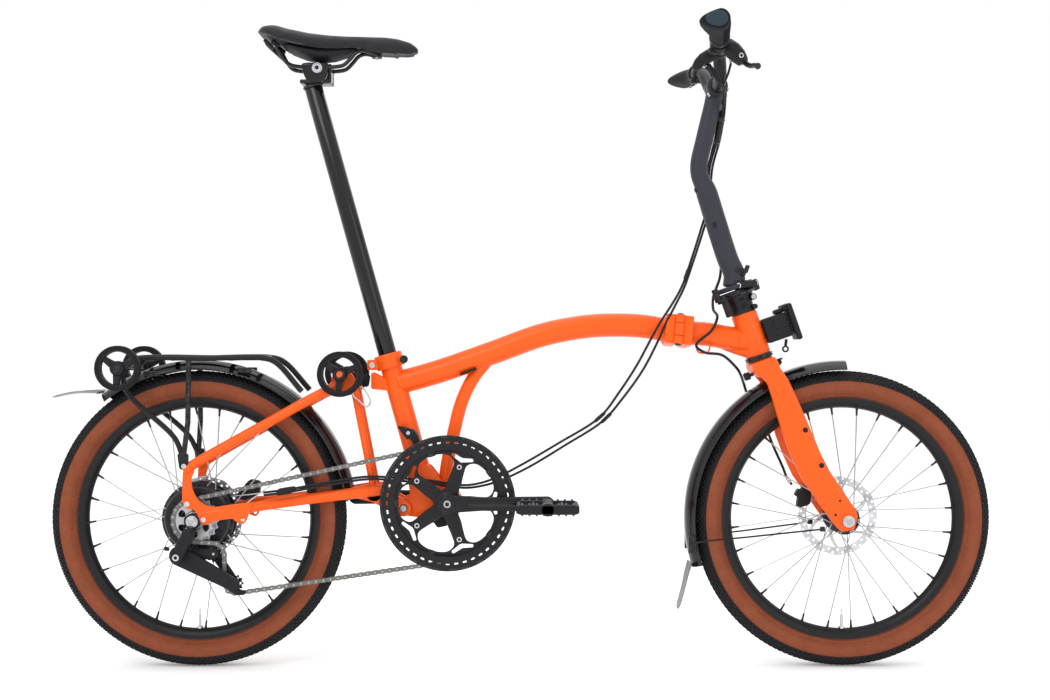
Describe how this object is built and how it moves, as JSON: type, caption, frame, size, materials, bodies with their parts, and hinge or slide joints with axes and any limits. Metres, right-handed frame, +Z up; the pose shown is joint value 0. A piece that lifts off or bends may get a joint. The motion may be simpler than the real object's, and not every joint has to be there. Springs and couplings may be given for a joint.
{
  "type": "folding bicycle",
  "caption": "Small-wheeled folding bicycle with a curved main tube, hinged frame and stem, swing-under rear frame, rack with rollers, mudguards and disc brakes.",
  "frame": {"origin": "on the floor, under the middle of the unfolded bicycle's bounding box", "axes": "+X forward, +Y to the rider's left (the chain is at -Y), +Z up"},
  "size_m": [1.635, 0.5836, 1.112],
  "materials": {
    "frame_paint": "satin bright orange",
    "black_alloy": "satin black anodised",
    "dark_post": "dark grey satin anodised",
    "gloss_black": "gloss black",
    "black_plastic": "matt black",
    "rubber": "matt black rubber",
    "tyre_tan": "tan-brown sidewall with black tread",
    "rim_black": "satin black",
    "bright_steel": "bright",
    "chain_steel": "grey",
    "saddle_cover": "matt black cover",
    "cable_housing": "semi-gloss black housing"
  },
  "bodies": {
    "main_frame": {"main_frame": "frame_paint", "seat_clamp": "frame_paint", "hinge_pin": "black_alloy", "pivot_pin": "bright_steel", "chain_catcher": "black_plastic", "control_cables": "cable_housing"},
    "bottom_bracket": {"bottom_bracket": "black_alloy"},
    "crankset": {"chainring": "black_alloy", "right_crank": "black_alloy", "left_crank": "black_alloy"},
    "right_pedal": {"right_pedal": "black_plastic"},
    "left_pedal": {"left_pedal": "black_plastic"},
    "seat_latch": {"seat_latch": "black_alloy"},
    "frame_latch": {"frame_latch": "black_alloy"},
    "seat": {"seatpost": "gloss_black", "saddle": "saddle_cover", "saddle_rails": "bright_steel", "saddle_clamp": "black_alloy"},
    "rear_frame": {"rear_frame": "frame_paint", "suspension_block": "rubber", "rear_mudguard": "gloss_black", "rack": "black_alloy", "rear_calliper": "black_alloy", "rear_axle": "bright_steel", "derailleur_body": "black_alloy", "chain": "chain_steel"},
    "rear_wheel": {"rear_tyre": "tyre_tan", "rear_rim": "rim_black", "rear_hub": "black_alloy", "rear_rotor": "bright_steel"},
    "cassette": {"cassette": "bright_steel"},
    "rack_roller_right": {"rack_roller_right": "rubber"},
    "rack_roller_left": {"rack_roller_left": "rubber"},
    "frame_roller_right": {"frame_roller_right": "rubber"},
    "frame_roller_left": {"frame_roller_left": "rubber"},
    "derailleur_cage": {"derailleur_cage": "black_alloy"},
    "upper_pulley": {"upper_pulley": "black_plastic"},
    "lower_pulley": {"lower_pulley": "black_plastic"},
    "front_frame": {"front_frame": "frame_paint", "carrier_block": "black_plastic", "lower_headset": "black_alloy"},
    "fork": {"fork": "frame_paint", "stem_base": "black_alloy", "front_mudguard": "gloss_black", "front_calliper": "black_alloy", "front_axle": "bright_steel", "front_brake_hose": "cable_housing"},
    "front_wheel": {"front_tyre": "tyre_tan", "front_rim": "rim_black", "front_hub": "black_alloy", "front_rotor": "bright_steel"},
    "stem_latch": {"stem_latch": "black_alloy"},
    "handlepost": {"handlepost": "dark_post", "handlebar": "black_alloy", "right_grip": "rubber", "left_grip": "rubber", "right_lever_body": "black_plastic", "left_lever_body": "black_plastic"},
    "right_brake_lever": {"right_brake_lever": "black_alloy"},
    "left_brake_lever": {"left_brake_lever": "black_alloy"}
  },
  "joints": [
    {"name": "main_fold", "type": "hinge", "parent": "main_frame", "child": "front_frame", "pos_m": [0.27338, -0.03381, 0.58553], "axis": [-0.108, -0.1045, -0.9886], "range_deg": [0, 150], "deforming": ["control_cables"]},
    {"name": "rear_fold", "type": "hinge", "parent": "main_frame", "child": "rear_frame", "pos_m": [-0.2033, 0, 0.276], "axis": [0, -1, 0], "range_deg": [0, 180], "deforming": ["chain"]},
    {"name": "crank_park", "type": "hinge", "parent": "main_frame", "child": "bottom_bracket", "pos_m": [-0.1255, 0, 0.2874], "axis": [0, -1, 0], "range_deg": [0, 90]},
    {"name": "crank_spin", "type": "hinge", "parent": "bottom_bracket", "child": "crankset", "pos_m": [-0.1255, 0, 0.2874], "axis": [0, 1, 0], "continuous": true},
    {"name": "cassette_spin", "type": "hinge", "parent": "rear_frame", "child": "cassette", "pos_m": [-0.561, 0, 0.257], "axis": [0, 1, 0], "continuous": true},
    {"name": "rear_wheel_spin", "type": "hinge", "parent": "rear_frame", "child": "rear_wheel", "pos_m": [-0.561, 0, 0.257], "axis": [0, 1, 0], "continuous": true},
    {"name": "steering", "type": "hinge", "parent": "front_frame", "child": "fork", "pos_m": [0.39403, 0, 0.6], "axis": [0.3305, 0, -0.9438], "range_deg": [-60, 60], "deforming": ["front_brake_hose"]},
    {"name": "front_wheel_spin", "type": "hinge", "parent": "fork", "child": "front_wheel", "pos_m": [0.56, 0, 0.257], "axis": [0, 1, 0], "continuous": true},
    {"name": "stem_fold", "type": "hinge", "parent": "fork", "child": "handlepost", "pos_m": [0.39877, 0.02824, 0.6634], "axis": [-0.7014, 0.6691, -0.2456], "range_deg": [0, 146]},
    {"name": "stem_latch_swing", "type": "hinge", "parent": "fork", "child": "stem_latch", "pos_m": [0.36332, -0.02787, 0.61179], "axis": [0.7014, -0.6691, 0.2456], "range_deg": [0, 60]},
    {"name": "frame_latch_swing", "type": "hinge", "parent": "main_frame", "child": "frame_latch", "pos_m": [0.24979, 0.03083, 0.58128], "axis": [0.108, 0.1045, 0.9886], "range_deg": [0, 100]},
    {"name": "seat_latch_swing", "type": "hinge", "parent": "main_frame", "child": "seat_latch", "pos_m": [-0.258, 0.023, 0.524], "axis": [0, 0, 1], "range_deg": [0, 95]},
    {"name": "seat_slide", "type": "slide", "parent": "main_frame", "child": "seat", "axis": [0.268, 0, -0.9634], "range_m": [0, 0.35]},
    {"name": "right_pedal_spin", "type": "hinge", "parent": "crankset", "child": "right_pedal", "pos_m": [0.0445, -0.13, 0.2874], "axis": [0, 1, 0], "continuous": true},
    {"name": "left_pedal_spin", "type": "hinge", "parent": "crankset", "child": "left_pedal", "pos_m": [-0.2955, 0.13, 0.2874], "axis": [0, 1, 0], "continuous": true},
    {"name": "right_brake_lever_pull", "type": "hinge", "parent": "handlepost", "child": "right_brake_lever", "pos_m": [0.364, -0.145, 1.036], "axis": [-0.6218, 0, -0.7832], "range_deg": [0, 20], "stiffness_Nm_per_rad": 1.5},
    {"name": "left_brake_lever_pull", "type": "hinge", "parent": "handlepost", "child": "left_brake_lever", "pos_m": [0.364, 0.145, 1.036], "axis": [0.6218, 0, 0.7832], "range_deg": [0, 20], "stiffness_Nm_per_rad": 1.5},
    {"name": "rack_roller_right_spin", "type": "hinge", "parent": "rear_frame", "child": "rack_roller_right", "pos_m": [-0.681, -0.094, 0.519], "axis": [0, 1, 0], "continuous": true},
    {"name": "rack_roller_left_spin", "type": "hinge", "parent": "rear_frame", "child": "rack_roller_left", "pos_m": [-0.681, 0.094, 0.519], "axis": [0, 1, 0], "continuous": true},
    {"name": "frame_roller_right_spin", "type": "hinge", "parent": "rear_frame", "child": "frame_roller_right", "pos_m": [-0.31, -0.055, 0.5085], "axis": [0, 1, 0], "continuous": true},
    {"name": "frame_roller_left_spin", "type": "hinge", "parent": "rear_frame", "child": "frame_roller_left", "pos_m": [-0.31, 0.055, 0.5085], "axis": [0, 1, 0], "continuous": true},
    {"name": "derailleur_swing", "type": "hinge", "parent": "rear_frame", "child": "derailleur_cage", "pos_m": [-0.583, -0.06, 0.199], "axis": [0, 1, 0], "range_deg": [0, 25], "stiffness_Nm_per_rad": 2},
    {"name": "upper_pulley_spin", "type": "hinge", "parent": "derailleur_cage", "child": "upper_pulley", "pos_m": [-0.526, -0.052, 0.201], "axis": [0, 1, 0], "continuous": true},
    {"name": "lower_pulley_spin", "type": "hinge", "parent": "derailleur_cage", "child": "lower_pulley", "pos_m": [-0.491, -0.052, 0.15], "axis": [0, 1, 0], "continuous": true}
  ],
  "couplings": [
    {"joint": "rear_fold", "follows": "main_fold", "ratio": 1.2},
    {"joint": "crank_park", "follows": "main_fold", "ratio": 0.6},
    {"joint": "cassette_spin", "follows": "crank_spin", "ratio": 2.7778}
  ]
}
